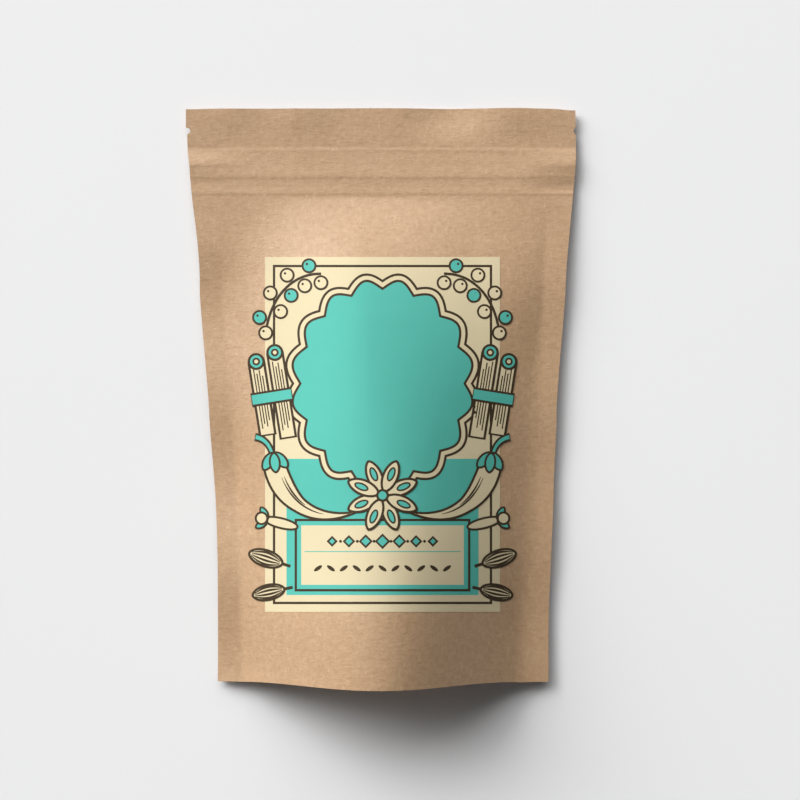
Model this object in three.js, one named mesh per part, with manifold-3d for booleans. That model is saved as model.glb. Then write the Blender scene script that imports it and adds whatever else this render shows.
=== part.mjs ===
// A stand-up spice pouch of kraft paper with a press-to-close strip, filled and lying on its back.
// Millimetres, +Z up, +Y towards the mouth. The origin is under the middle of the pouch, on the
// surface that it lies on. "down" is the distance from the mouth edge towards the foot.

import * as THREE from 'three';
import { mergeVertices } from 'three/addons/utils/BufferGeometryUtils.js';
import Module from 'manifold-3d';

// ---- Driving dimensions ----

const pouchLength = 190; // mouth edge to foot edge, as seen from above
const sealWidth = 7.5; // flat welded strip down each side
const sealThickness = 1.2; // the two films and the weld, kept thick enough to handle
const filmThickness = sealThickness / 2; // one wall of the skirt at the foot

// Where the outline passes, how high the side seals float and how domed the front is.
// left and right are distances from the middle line out to the edge of the pouch.
const stations = [
  { down: 0, left: 64.75, right: 64.75, seam: 2.8 },
  { down: 14, left: 64.65, right: 64.75, seam: 2.6 },
  { down: 30, left: 62.85, right: 63.55, seam: 3.0 },
  { down: 63, left: 59.75, right: 60.85, seam: 5.6 },
  { down: 96, left: 56.85, right: 57.85, seam: 7.6 },
  { down: 129, left: 54.75, right: 56.65, seam: 8.4 },
  { down: 162, left: 53.75, right: 55.15, seam: 7.8 },
  { down: 190, left: 53.45, right: 55.05, seam: 5.6 },
];

// Press-to-close strip: two ridges across the pouch, and the bulge of the filling starts below them.
const ridges = [
  { from: 12.8, to: 18.6, height: 0.7 },
  { from: 22.8, to: 28.3, height: 0.5 },
];
const ridgeFlank = 0.8;
const bulgeStart = 28.8;
const bulgeHeight = 28; // of the front above the side seals, at the foot
const shoulderShare = 0.2; // how much of the rise comes straight below the closing strip
const shoulderLength = 22;

// Shape across the pouch: 0 is a plain dome, 1 is a rounded ridge with hollow flanks.
const ridgeShareAtMouth = 0.35;
const ridgeShareAtFoot = 0.65;

// Back: flat on the surface within this share of the half width, and all along from contactEnd down.
const contactShare = 0.5;
const contactEnd = 58;
const backCurve = 1.7;

// Soft waves of the free edges.
const mouthWave = { height: 1.3, length: 66, crest: 36.7, reach: 13 };
const leftWave = { height: 1.1, length: 57, crest: 88 };
const rightWave = { height: 0.7, length: 46, crest: 148 };
const waveStart = 34;
const waveFull = 60;

// Foot: the skirts stand out past the base film, less in the middle than near the corners.
const footPullIn = 1.1;
const footPullStart = 169;
const recessMiddle = 6;
const recessNearCorner = 20;
const recessFade = 0.86; // share of the half width where the recess starts to close
const baseBulge = 3.5;
const baseSteps = 6;

// Tear notches in both side seals, below the mouth edge.
const notchDown = 7.2;
const notchDepth = 1.7;
const notchHalfHeight = 0.8;

// Label: a paper rectangle on the front, with a scalloped field and a framed panel printed on it.
const label = { x: 0.85, y: -12.4, width: 75.6, height: 114.4 };
const field = { x: 0.85, y: 4.2, halfWidth: 29.5, halfHeight: 33.5, scallops: 16, scallopDepth: 2.6 };
const panel = { x: 0.85, y: -51.6, width: 58.5, height: 25.5, band: 2.6 };
const layerGap = 0.3;
const layerThickness = 0.4;

// How finely the surfaces are stepped.
const columnsInside = 28;
const rowStep = 7;
const labelStep = 5;

// ---- The surface of the pouch ----

const smoothstep = THREE.MathUtils.smoothstep;
const lerp = THREE.MathUtils.lerp;
const clamp = THREE.MathUtils.clamp;

// Smooth curve through one value of the stations.
function atStation(key, down) {
  let i = 0;
  while (i < stations.length - 2 && down > stations[i + 1].down) i += 1;
  const a = stations[i];
  const b = stations[i + 1];
  const before = stations[Math.max(i - 1, 0)];
  const after = stations[Math.min(i + 2, stations.length - 1)];
  const span = b.down - a.down;
  const s = clamp((down - a.down) / span, 0, 1);
  const slopeA = ((b[key] - before[key]) / (b.down - before.down)) * span;
  const slopeB = ((after[key] - a[key]) / (after.down - a.down)) * span;
  const blend = lerp(a[key], b[key], s * s * (3 - 2 * s));
  return blend + slopeA * s * (1 - s) ** 2 - slopeB * (1 - s) * s ** 2;
}

// Share of the way from the middle line (0) to the inner edge of the side seal (1).
function shareAcross(x, down) {
  const reach = atStation(x < 0 ? 'left' : 'right', down) - sealWidth;
  return Math.min(Math.abs(x) / reach, 1);
}

// Height that the free edges wave by.
function edgeWave(x, down) {
  const wave = x < 0 ? leftWave : rightWave;
  const side = wave.height * Math.cos((2 * Math.PI * (down - wave.crest)) / wave.length);
  const mouth = mouthWave.height * Math.cos((2 * Math.PI * (x - mouthWave.crest)) / mouthWave.length);
  const sideShare = smoothstep(down, waveStart, waveFull) * shareAcross(x, down) ** 4;
  const mouthShare = 1 - smoothstep(down, 0, mouthWave.reach);
  return side * sideShare + mouth * mouthShare;
}

// Height of the two ridges of the closing strip.
function closingRelief(down) {
  let height = 0;
  for (const ridge of ridges) {
    const rise = clamp((down - ridge.from) / ridgeFlank, 0, 1);
    const fall = clamp((ridge.to - down) / ridgeFlank, 0, 1);
    height += ridge.height * Math.min(rise, fall);
  }
  return height;
}

// Height of the filled front above its side seals, on the middle line.
function bulge(down) {
  const past = Math.max(down - bulgeStart, 0);
  const steady = past / (pouchLength - bulgeStart);
  const shoulder = 1 - Math.exp(-past / shoulderLength);
  const share = lerp(steady, shoulder, shoulderShare);
  return bulgeHeight * Math.sin((Math.PI / 2) * share);
}

// Share of the bulge that is left at a place across the pouch.
function bulgeAcross(share, down) {
  const ridgeShare = lerp(ridgeShareAtMouth, ridgeShareAtFoot, down / pouchLength);
  const dome = 1 - share * share;
  const ridge = Math.cos((Math.PI / 2) * share) ** 2;
  return lerp(dome, ridge, ridgeShare);
}

function frontHeight(x, down) {
  const middle = atStation('seam', down) + edgeWave(x, down);
  const filled = bulge(down) * bulgeAcross(shareAcross(x, down), down);
  return middle + sealThickness / 2 + closingRelief(down) + filled;
}

function backHeight(x, down) {
  const seam = atStation('seam', down) + edgeWave(x, down) - sealThickness / 2;
  const past = clamp((shareAcross(x, down) - contactShare) / (1 - contactShare), 0, 1);
  const touching = smoothstep(down, bulgeStart, contactEnd);
  return seam * (1 - touching * (1 - past ** backCurve));
}

// ---- Closed meshes ----

// Turns points and triangles of point numbers into a geometry without doubled or flat triangles.
function geometryOf(points, triangles) {
  const raw = new THREE.BufferGeometry();
  raw.setAttribute('position', new THREE.Float32BufferAttribute(points.flat(), 3));
  raw.setIndex(triangles.flat());
  const merged = mergeVertices(raw, 1e-4);
  const index = Array.from(merged.index.array);
  const kept = [];
  for (let i = 0; i < index.length; i += 3) {
    const [a, b, c] = index.slice(i, i + 3);
    if (a !== b && b !== c && c !== a) kept.push(a, b, c);
  }
  merged.setIndex(kept);
  return merged;
}

// A thin sheet that follows the front, from a flat plan of points [x, y] and upward triangles.
function sheetOnFront(plan, triangles, lift) {
  const heightAt = ([x, y]) => frontHeight(x, pouchLength / 2 - y);
  const lower = plan.map((p) => [p[0], p[1], heightAt(p) + lift]);
  const upper = lower.map(([x, y, z]) => [x, y, z + layerThickness]);
  const count = plan.length;
  const faces = triangles.map(([a, b, c]) => [a + count, b + count, c + count]);
  faces.push(...triangles.map(([a, b, c]) => [a, c, b]));
  const edges = new Set(triangles.flatMap(([a, b, c]) => [`${a},${b}`, `${b},${c}`, `${c},${a}`]));
  for (const edge of edges) {
    const [a, b] = edge.split(',').map(Number);
    if (edges.has(`${b},${a}`)) continue;
    faces.push([a, b, b + count], [a, b + count, a + count]);
  }
  return geometryOf([...lower, ...upper], faces);
}

// Upward triangles of a grid of points, row by row; a closed grid joins its last column to its first.
function gridTriangles(rows, columns, closed = false) {
  const faces = [];
  const last = closed ? columns : columns - 1;
  for (let r = 0; r < rows - 1; r += 1) {
    for (let c = 0; c < last; c += 1) {
      const a = r * columns + c;
      const b = r * columns + ((c + 1) % columns);
      faces.push([a, b, b + columns], [a, b + columns, a + columns]);
    }
  }
  return faces;
}

// ---- Pouch ----

// Distances down the pouch where the walls are stepped: close at the ridges, even over the bulge.
function rowsDown() {
  const rows = [0, mouthWave.reach / 4, mouthWave.reach / 2, (mouthWave.reach * 3) / 4];
  for (const ridge of ridges) {
    rows.push(ridge.from, ridge.from + ridgeFlank, ridge.to - ridgeFlank, ridge.to);
  }
  rows.push(bulgeStart, bulgeStart + 2, bulgeStart + 5, bulgeStart + 9);
  const first = bulgeStart + 14;
  const steps = Math.round((pouchLength - first) / rowStep);
  for (let i = 0; i <= steps; i += 1) {
    rows.push(lerp(first, pouchLength, i / steps));
  }
  return rows;
}

// Place across the pouch of a column, counted from the left edge: two columns on each side seal.
function columnAcross(column, down) {
  const left = -atStation('left', down);
  const right = atStation('right', down);
  if (column < 2) return left + (column * sealWidth) / 2;
  if (column > columnsInside + 2) return right - ((columnsInside + 4 - column) * sealWidth) / 2;
  return lerp(left + sealWidth, right - sealWidth, (column - 2) / columnsInside);
}

// How far a place near the foot edge is pulled in, and how deep the base film sits behind the skirts.
function pulledIn(down, share) {
  return footPullIn * smoothstep(down, footPullStart, pouchLength) * (1 - share ** 4);
}

function recessDepth(share) {
  const depth = lerp(recessMiddle, recessNearCorner, share ** 2);
  return depth * (1 - smoothstep(share, recessFade, 1));
}

// One closed loop of points: down the front, round the foot and back up the back of one column.
function columnLoop(column, rows) {
  const share = shareAcross(columnAcross(column, pouchLength), pouchLength);
  const depth = recessDepth(share);
  const inner = pouchLength - depth;
  const frontAt = (down) => frontHeight(columnAcross(column, down), down);
  const backAt = (down) => backHeight(columnAcross(column, down), down);
  const point = (down, z) => {
    const y = pouchLength / 2 - down + pulledIn(down, share);
    return [columnAcross(column, down), y, z];
  };
  const front = rows.map((down) => point(down, frontAt(down)));
  const back = rows.map((down) => point(down, backAt(down)));
  const base = [];
  for (let i = 0; i <= baseSteps; i += 1) {
    const v = i / baseSteps;
    const down = inner + baseBulge * Math.sin(Math.PI * v) * Math.min(depth / recessMiddle, 1);
    base.push(point(down, lerp(frontAt(inner) - filmThickness, backAt(inner) + filmThickness, v)));
  }
  return [
    ...front,
    point(pouchLength, frontAt(pouchLength) - filmThickness),
    ...base,
    point(pouchLength, backAt(pouchLength) + filmThickness),
    ...back.reverse(),
  ];
}

function pouchWalls() {
  const rows = rowsDown();
  const columns = columnsInside + 5;
  const loops = [];
  for (let column = 0; column < columns; column += 1) loops.push(columnLoop(column, rows));
  const around = loops[0].length;
  const faces = gridTriangles(columns, around, true);
  // The two side edges: a strip of quads between front and back, and the mid points at the foot.
  const lastFront = rows.length - 1;
  for (const [start, turn] of [[0, false], [(columns - 1) * around, true]]) {
    const cap = [];
    for (let r = 0; r < lastFront - 1; r += 1) {
      const a = start + r;
      const d = start + around - 1 - r;
      cap.push([a, d, a + 1], [a + 1, d, d - 1]);
    }
    const [front, foot, mid] = [start + lastFront - 1, start + lastFront, start + lastFront + 1];
    const [back, backFoot] = [start + around - lastFront, start + around - 1 - lastFront];
    cap.push([front, back, mid], [front, mid, foot], [mid, back, backFoot]);
    for (const [a, b, c] of cap) faces.push(turn ? [a, c, b] : [a, b, c]);
  }
  return geometryOf(loops.flat(), faces);
}

// A small wedge that points into the side seal from outside.
function notchCutter(side) {
  const edge = atStation(side < 0 ? 'left' : 'right', notchDown);
  const outline = new THREE.Shape();
  outline.moveTo(side * (edge - notchDepth), 0);
  outline.lineTo(side * (edge + 1), notchHalfHeight);
  outline.lineTo(side * (edge + 1), -notchHalfHeight);
  outline.closePath();
  const wedge = new THREE.ExtrudeGeometry(outline, { depth: 12, bevelEnabled: false });
  wedge.translate(0, pouchLength / 2 - notchDown, -3);
  return wedge;
}

const wasm = await Module();
wasm.setup();

function toSolid(geometry) {
  const bare = geometry.clone();
  bare.deleteAttribute('normal');
  bare.deleteAttribute('uv');
  const merged = mergeVertices(bare, 1e-4);
  return new wasm.Manifold(new wasm.Mesh({
    numProp: 3,
    vertProperties: Float32Array.from(merged.attributes.position.array),
    triVerts: Uint32Array.from(merged.index.array),
  }));
}

function toGeometry(solid) {
  const mesh = solid.getMesh();
  const geometry = new THREE.BufferGeometry();
  geometry.setAttribute('position', new THREE.BufferAttribute(mesh.vertProperties, 3));
  geometry.setIndex(new THREE.BufferAttribute(mesh.triVerts, 1));
  return geometry;
}

function pouchGeometry() {
  let solid = toSolid(pouchWalls());
  for (const side of [-1, 1]) solid = solid.subtract(toSolid(notchCutter(side)));
  return toGeometry(solid);
}

// ---- Label ----

function labelGeometry() {
  const columns = Math.round(label.width / labelStep) + 1;
  const rows = Math.round(label.height / labelStep) + 1;
  const plan = [];
  for (let r = 0; r < rows; r += 1) {
    for (let c = 0; c < columns; c += 1) {
      const x = label.x + label.width * (c / (columns - 1) - 0.5);
      const y = label.y + label.height * (r / (rows - 1) - 0.5);
      plan.push([x, y]);
    }
  }
  return sheetOnFront(plan, gridTriangles(rows, columns), layerGap);
}

// The scalloped field: rings of points round its middle, the outermost one with the scallops.
function fieldGeometry() {
  const pointsPerScallop = 5;
  const spokes = field.scallops * pointsPerScallop;
  const rings = 6;
  const plan = [];
  for (let ring = rings; ring >= 1; ring -= 1) {
    for (let spoke = 0; spoke < spokes; spoke += 1) {
      const angle = (2 * Math.PI * spoke) / spokes;
      const arc = Math.abs(Math.sin((angle * field.scallops) / 2));
      const scallop = ring === rings ? field.scallopDepth * arc : 0;
      const share = ring / rings;
      const x = field.x + Math.cos(angle) * (field.halfWidth * share + scallop);
      const y = field.y + Math.sin(angle) * (field.halfHeight * share + scallop);
      plan.push([x, y]);
    }
  }
  const faces = gridTriangles(rings, spokes, true);
  const middle = plan.push([field.x, field.y]) - 1;
  const innermost = (rings - 1) * spokes;
  for (let spoke = 0; spoke < spokes; spoke += 1) {
    faces.push([innermost + spoke, innermost + ((spoke + 1) % spokes), middle]);
  }
  return sheetOnFront(plan, faces, 2 * layerGap + layerThickness);
}

// The frame of the panel: two rectangles of points, the outer one first.
function panelGeometry() {
  const steps = [Math.round(panel.width / labelStep), Math.round(panel.height / labelStep)];
  const corners = [[-1, -1], [1, -1], [1, 1], [-1, 1]];
  const plan = [];
  for (const inset of [0, panel.band]) {
    const halfWidth = panel.width / 2 - inset;
    const halfHeight = panel.height / 2 - inset;
    corners.forEach((from, side) => {
      const to = corners[(side + 1) % corners.length];
      const count = steps[side % 2];
      for (let i = 0; i < count; i += 1) {
        const x = panel.x + halfWidth * lerp(from[0], to[0], i / count);
        const y = panel.y + halfHeight * lerp(from[1], to[1], i / count);
        plan.push([x, y]);
      }
    });
  }
  const around = 2 * (steps[0] + steps[1]);
  return sheetOnFront(plan, gridTriangles(2, around, true), 2 * layerGap + layerThickness);
}

// ---- The object ----

const kraft = new THREE.MeshStandardMaterial({ color: 0xb99879, roughness: 0.85, metalness: 0 });
const cream = new THREE.MeshStandardMaterial({ color: 0xe4d5ae, roughness: 0.7, metalness: 0 });
const teal = new THREE.MeshStandardMaterial({ color: 0x60c1b0, roughness: 0.6, metalness: 0 });

function named(name, geometry, material) {
  const mesh = new THREE.Mesh(geometry, material);
  mesh.name = name;
  return mesh;
}

const pouch = new THREE.Group();
pouch.add(named('pouch_body', pouchGeometry(), kraft));
pouch.add(named('label_sheet', labelGeometry(), cream));
pouch.add(named('label_field', fieldGeometry(), teal));
pouch.add(named('label_panel', panelGeometry(), teal));

export default pouch;
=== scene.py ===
"""A filled spice pouch of kraft paper, lying on its back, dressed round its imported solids.

The paper walls, the base film, the label and its print are modelled one by one. Lengths are metres
unless a name or comment says millimetres. "down" is a distance from the mouth edge towards the foot.
"""

import math

import bmesh
import bpy
from bpy.props import FloatProperty, FloatVectorProperty, IntProperty, PointerProperty
from bpy.types import Operator, Panel, PropertyGroup
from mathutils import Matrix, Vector, noise


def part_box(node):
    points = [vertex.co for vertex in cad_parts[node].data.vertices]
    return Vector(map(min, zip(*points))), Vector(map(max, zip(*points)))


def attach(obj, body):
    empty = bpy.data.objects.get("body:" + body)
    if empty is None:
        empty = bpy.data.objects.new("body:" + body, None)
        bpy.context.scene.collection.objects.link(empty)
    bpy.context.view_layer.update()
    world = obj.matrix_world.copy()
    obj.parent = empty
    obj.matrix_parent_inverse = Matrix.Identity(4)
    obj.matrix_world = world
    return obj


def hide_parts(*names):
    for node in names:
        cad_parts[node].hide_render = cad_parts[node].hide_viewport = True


bl_info = {
    "name": "Kraft spice pouch",
    "version": (1, 0, 0),
    "blender": (4, 5, 0),
    "location": "3D View > Sidebar > Spice pouch",
    "description": "Models a filled kraft stand-up pouch with a printed label, lying on its back",
    "category": "Add Mesh",
}

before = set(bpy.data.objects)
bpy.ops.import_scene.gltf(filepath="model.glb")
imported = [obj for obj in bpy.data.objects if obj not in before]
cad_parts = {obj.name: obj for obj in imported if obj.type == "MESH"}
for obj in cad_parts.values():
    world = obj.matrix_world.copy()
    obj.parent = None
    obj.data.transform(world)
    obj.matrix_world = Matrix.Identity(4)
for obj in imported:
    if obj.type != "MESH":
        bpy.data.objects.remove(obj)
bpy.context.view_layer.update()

MM = 0.001
BODY_LOW, BODY_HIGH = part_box("pouch_body")
MOUTH_Y = BODY_HIGH[1]
LENGTH = BODY_HIGH[1] - BODY_LOW[1]

# Outline and side seals, in millimetres: down from the mouth edge, middle line to the left edge,
# middle line to the right edge, and height of the middle of the side seals.
STATIONS = (
    (0, 64.65, 64.75, 2.0),
    (14, 64.45, 64.95, 2.2),
    (20, 63.45, 64.7, 2.35),
    (30, 62.45, 63.85, 2.5),
    (44, 60.7, 62.5, 3.3),
    (54, 60.0, 61.65, 3.6),
    (63, 59.9, 61.25, 3.8),
    (96, 57.0, 58.6, 4.15),
    (107, 56.45, 58.3, 4.25),
    (122, 55.3, 57.6, 4.35),
    (132, 54.6, 57.3, 4.4),
    (150, 53.9, 56.55, 4.5),
    (166, 53.85, 55.9, 4.55),
    (190, 54.0, 55.7, 4.6),
)
LEFT, RIGHT, SEAM = 1, 2, 3

# Relief of the press-to-close strip, in millimetres: down from the mouth edge, and height, over the
# filled width and then at its two crushed ends.
CLOSING_MIDDLE = (
    (13.0, 0.0), (13.9, 0.13), (14.6, 0.1), (15.8, 0.13), (18.5, 0.25),
    (22.9, 0.6), (23.7, 0.52), (24.4, 0.53), (26.0, 0.6), (27.6, 0.75),
    (28.4, 0.81), (29.0, 0.74), (29.8, 0.73), (42.8, 0.0),
)
CLOSING_ENDS = {
    LEFT: (
        (10.8, 0.0), (13.3, -0.12), (18.9, 1.08), (19.9, 0.95), (22.9, 0.86), (23.8, 0.71),
        (25.0, 0.67), (28.4, 0.86), (29.1, 0.76), (30.0, 0.76), (52.0, 0.0),
    ),
    RIGHT: (
        (10.8, 0.0), (13.2, 0.0), (15.2, 0.44), (17.8, 0.79), (18.6, 0.85),
        (22.5, 0.4), (23.3, 0.25), (25.8, -0.15), (27.1, -0.15),
        (28.4, 0.1), (29.1, 0.02), (32.0, 0.12), (52.0, 0.0),
    ),
}
CREASED = 0.5  # how soft the turns of the strip are, where 1 is a smooth wave

# Waves of the mouth above the closing strip, in millimetres: place across, and height.
MOUTH_WAVES = (
    (-64.0, 0.3), (-50.0, 0.5), (-38.0, 0.0), (-28.0, 0.5), (-10.0, 0.0),
    (4.0, 0.1), (23.0, -1.5), (44.0, 0.7), (64.0, 0.3),
)

# How far the mouth edge sits below its highest line, in millimetres: place across, and distance.
MOUTH_LINE = (
    (-64.0, 0.35), (-52.0, 0.12), (-22.0, 0.08), (-4.0, -0.05),
    (22.0, 0.0), (46.0, -0.05), (56.0, 0.17), (64.5, 0.7),
)


# ---- Sizes and colours that a user would change ----


def length_property(name, description, millimetres):
    return FloatProperty(
        name=name, description=description, default=millimetres * MM, min=0.0, unit="LENGTH", precision=5
    )


def colour_property(name, description, *red_green_blue):
    return FloatVectorProperty(
        name=name, description=description, default=red_green_blue, subtype="COLOR", min=0.0, max=1.0
    )


def light_property(name, description, watts):
    return FloatProperty(name=name, description=description, default=watts, min=0.0, unit="POWER")


class PouchSizes(PropertyGroup):
    """Sizes of the paper pouch."""

    film: length_property("Film", "Thickness of one paper wall", 0.25)
    seal_width: length_property("Side seal", "Width of the welded strip down each side", 7.5)
    bulge_start: length_property("Bulge start", "From the mouth edge to where the filling swells", 29.0)
    bulge_height: length_property("Bulge", "Height of the front above its side seals at the foot", 31.5)
    shoulder_length: length_property("Shoulder", "Length of the steep rise below the strip", 21.1)
    contact_end: length_property("Contact", "From the mouth edge to where the back lies flat", 58.0)
    foot_pull_in: length_property("Foot pull-in", "How far the middle of the foot edge draws in", 1.35)
    recess_middle: length_property("Recess", "Depth of the base film behind the foot, in the middle", 6.0)
    recess_corner: length_property("Corner recess", "Depth of the base film near the corners", 20.0)
    notch_down: length_property("Notch place", "From the mouth edge to the tear notches", 7.5)
    notch_depth: length_property("Notch depth", "Depth of the left tear notch", 1.5)
    notch_width: length_property("Notch width", "Width of the tear notches at the edge", 2.2)


class LabelSizes(PropertyGroup):
    """Sizes of the label and the main fields of its print."""

    width: length_property("Width", "Width of the label, as seen from over it", 78.3)
    height: length_property("Height", "Height of the label, as seen from over it", 118.3)
    paper: length_property("Paper", "Thickness of the label", 0.1)
    ink_step: length_property("Print step", "How far each layer of print stands over the last", 0.016)
    line: length_property("Line", "Width of the dark outlines", 0.8)
    border_inset: length_property("Border inset", "From the label's edge to its border line", 2.6)
    scallops: IntProperty(name="Scallops", description="Scallops round the field", default=16, min=4)


class PouchColours(PropertyGroup):
    """Colours of the paper, the print and the surface below."""

    kraft: colour_property("Kraft", "Brown kraft paper", 0.516, 0.329, 0.1875)
    cream: colour_property("Cream", "Label paper", 0.66, 0.565, 0.362)
    teal: colour_property("Teal", "Main print colour", 0.085, 0.44, 0.365)
    ink: colour_property("Ink", "Outline colour", 0.045, 0.028, 0.012)
    table: colour_property("Table", "Surface that the pouch lies on", 0.83, 0.83, 0.835)


class StudioSettings(PropertyGroup):
    """Strength of the lights and height of the camera."""

    window_power: light_property("Window", "Power of the large light at the upper left", 722.0)
    low_power: light_property("Low window", "Power of the lower light at the upper left", 1183.0)
    top_power: light_property("Top", "Power of the light past the mouth of the pouch", 555.0)
    fill: FloatProperty(name="Fill", description="Brightness of the surroundings", default=0.08, min=0.0)
    camera_height: length_property("Camera height", "Height of the camera over the surface", 700.0)


# ---- Shape of the filled pouch ----


def mix(start, end, share):
    return start + (end - start) * share


def ramp(value, low, high):
    """0 below low, 1 above high, with soft ends."""
    share = min(max((value - low) / (high - low), 0.0), 1.0)
    return share * share * (3.0 - 2.0 * share)


def through(points, value, softness=1.0):
    """Height of a relief given by its turning points, with soft turns."""
    if value <= points[0][0]:
        return points[0][1]
    for (start, low), (end, high) in zip(points, points[1:]):
        if value <= end:
            share = mix((value - start) / (end - start), ramp(value, start, end), softness)
            return mix(low, high, share)
    return points[-1][1]


def side_of(x):
    return LEFT if x < 0 else RIGHT


def unevenness(a, b, size, pattern):
    """Smooth noise from about -1 to 1, with bumps of a size along a and b; pattern picks one."""
    return noise.noise(Vector((a / size[0], b / size[1], pattern)))


class PouchShape:
    """Heights of the outer paper surfaces, from the sizes."""

    # Side seals: where they wave and hang, and how much wider the weld is towards the foot.
    wave_height = {LEFT: 1.04 * MM, RIGHT: 0.29 * MM}
    wave_crest = {LEFT: 94.5 * MM, RIGHT: 145 * MM}
    wave_length = {LEFT: 58.5 * MM, RIGHT: 46 * MM}
    wave_start, wave_full = 34 * MM, 60 * MM
    wave_power = 7.1
    droop_depth = {LEFT: 1.17 * MM, RIGHT: 0.95 * MM}
    droop_full = 120 * MM
    weld_start = {LEFT: 168 * MM, RIGHT: 125 * MM}
    weld_extra = {LEFT: 1.4 * MM, RIGHT: 1.9 * MM}
    seal_columns = 0.07  # share of a wall's columns that lies on each seal

    # Closing strip: how far from the side edges it is crushed, and where the walls part round it.
    crushed_start = {LEFT: -5 * MM, RIGHT: 0.0}
    crushed_reach = {LEFT: 28 * MM, RIGHT: 22 * MM}
    parted_before, parted_after = 4 * MM, 1 * MM

    # Filled front along the pouch: a steady slope with a share of a steep shoulder, and the crown.
    shoulder_at_crest = 0.15
    shoulder_at_seal = {LEFT: 0.17, RIGHT: 0.0}
    shoulder_spread = 1.6
    shoulder_softness = 3.8 * MM
    crown_height = 0.8 * MM
    crown_start, crown_top = 125 * MM, 164 * MM

    # Filled front across the pouch: a dome with a share of a ridge, blended from mouth to foot.
    dome_power_at_mouth = {LEFT: 1.9, RIGHT: 2.43}
    dome_power_at_foot = 2.45
    ridge_at_mouth = {LEFT: 1.0, RIGHT: 0.08}
    ridge_at_foot = {LEFT: 0.49, RIGHT: 0.57}
    inner_softness = {LEFT: 0.004, RIGHT: 0.02}
    blend_start, blend_end = 34 * MM, 0.66 * LENGTH
    crest_aside, crest_end = -7.0 * MM, 0.8 * LENGTH

    # Small dents over the filling: height, size across and down, and how far they take to set in.
    dent_height, dent_size = 0.35 * MM, (26 * MM, 34 * MM)
    ripple_height, ripple_size = 0.05 * MM, (8 * MM, 8 * MM)
    dent_pattern, ripple_pattern = 3.7, 9.1
    dent_fade = 12 * MM

    # Back: the share of its width that lies flat, and the curve from there to the seals.
    contact_share = 0.5
    back_curve = 1.7

    # Mouth and foot edges, tear notches and base film.
    mouth_reach = 13 * MM
    mouth_line_reach = 6.5 * MM
    foot_reach = 21 * MM
    foot_overhang = 0.25 * MM
    notch_share = {LEFT: 1.0, RIGHT: 0.45}
    notch_steepness = 3.0
    below_notch = {LEFT: 0.45 * MM, RIGHT: 0.0}
    below_notch_fade = 2.0, 3.0  # times the notch's own place
    recess_fade = 0.86

    def __init__(self, sizes):
        """Copies the sizes that are read most, as a property is slow to read."""
        self.sizes = sizes
        self.film = sizes.film
        self.seal_width = sizes.seal_width
        self.bulge_start = sizes.bulge_start
        self.bulge_height = sizes.bulge_height
        self.shoulder_length = sizes.shoulder_length
        self.contact_end = sizes.contact_end

    def station(self, column, down):
        """Smooth curve through one column of the stations."""
        place = min(max(down / MM, 0.0), STATIONS[-1][0])
        i = 0
        while i < len(STATIONS) - 2 and place > STATIONS[i + 1][0]:
            i += 1
        a, b = STATIONS[i], STATIONS[i + 1]
        before, after = STATIONS[max(i - 1, 0)], STATIONS[min(i + 2, len(STATIONS) - 1)]
        span = b[0] - a[0]
        s = (place - a[0]) / span
        slope_a = (b[column] - before[column]) / (b[0] - before[0]) * span
        slope_b = (after[column] - a[column]) / (after[0] - a[0]) * span
        blend = mix(a[column], b[column], ramp(s, 0.0, 1.0))
        return (blend + slope_a * s * (1 - s) ** 2 - slope_b * (1 - s) * s**2) * MM

    def inner(self, side, down):
        """From the middle line to a side seal's inner edge; the seal is wider towards the foot."""
        extra = self.weld_extra[side] * ramp(down, self.weld_start[side], LENGTH)
        return self.station(side, down) - self.seal_width - extra

    def share(self, x, down):
        """0 on the middle line, 1 at the inner edge of a side seal and beyond."""
        return min(abs(x) / self.inner(side_of(x), down), 1.0)

    def waves(self, x, down, share):
        """How the free edges wave: both side seals, and the mouth above the closing strip."""
        side = side_of(x)
        turn = (down - self.wave_crest[side]) / self.wave_length[side]
        seal = self.wave_height[side] * math.cos(math.tau * turn)
        seal_share = ramp(down, self.wave_start, self.wave_full) * share**self.wave_power
        mouth = through(MOUTH_WAVES, x / MM) * MM
        return seal * seal_share + mouth * (1 - ramp(down, 0.0, self.mouth_reach))

    def droop(self, x, down):
        """How far a side seal hangs below its inner edge."""
        side = side_of(x)
        outside = abs(x) - self.inner(side, down)
        hang = self.droop_depth[side] * ramp(down, self.wave_start, self.droop_full)
        return hang * max(outside, 0.0) / self.seal_width

    def edges(self, x, down, share):
        """Height of the middle of the seals, carried on across the pouch."""
        return self.station(SEAM, down) + self.waves(x, down, share) - self.droop(x, down)

    def closing(self, x, down):
        """Relief of the press-to-close strip, crushed towards its ends."""
        side = side_of(x)
        from_edge = self.station(side, down) - abs(x)
        crushed = 1 - ramp(from_edge, self.crushed_start[side], self.crushed_reach[side])
        middle = through(CLOSING_MIDDLE, down / MM, CREASED)
        return mix(middle, through(CLOSING_ENDS[side], down / MM, CREASED), crushed) * MM

    def bulge(self, x, down):
        """Height of the filled front above its side seals."""
        crest = self.crest_aside * (1 - ramp(down, self.bulge_start, self.crest_end))
        side = side_of(x - crest)
        reach = self.inner(side, down) + (crest if side == LEFT else -crest)
        to_foot = ramp(down, self.blend_start, self.blend_end)
        gap = 1 - abs(x - crest) / reach
        softness = 2 * self.inner_softness[side] * to_foot
        share = max(1 - (gap + math.hypot(gap, softness)) / 2, 0.0)
        height = self.bulge_height * self.rise(side, share, down) + self.crown(down)
        return height * self.across(side, share, to_foot)

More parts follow.
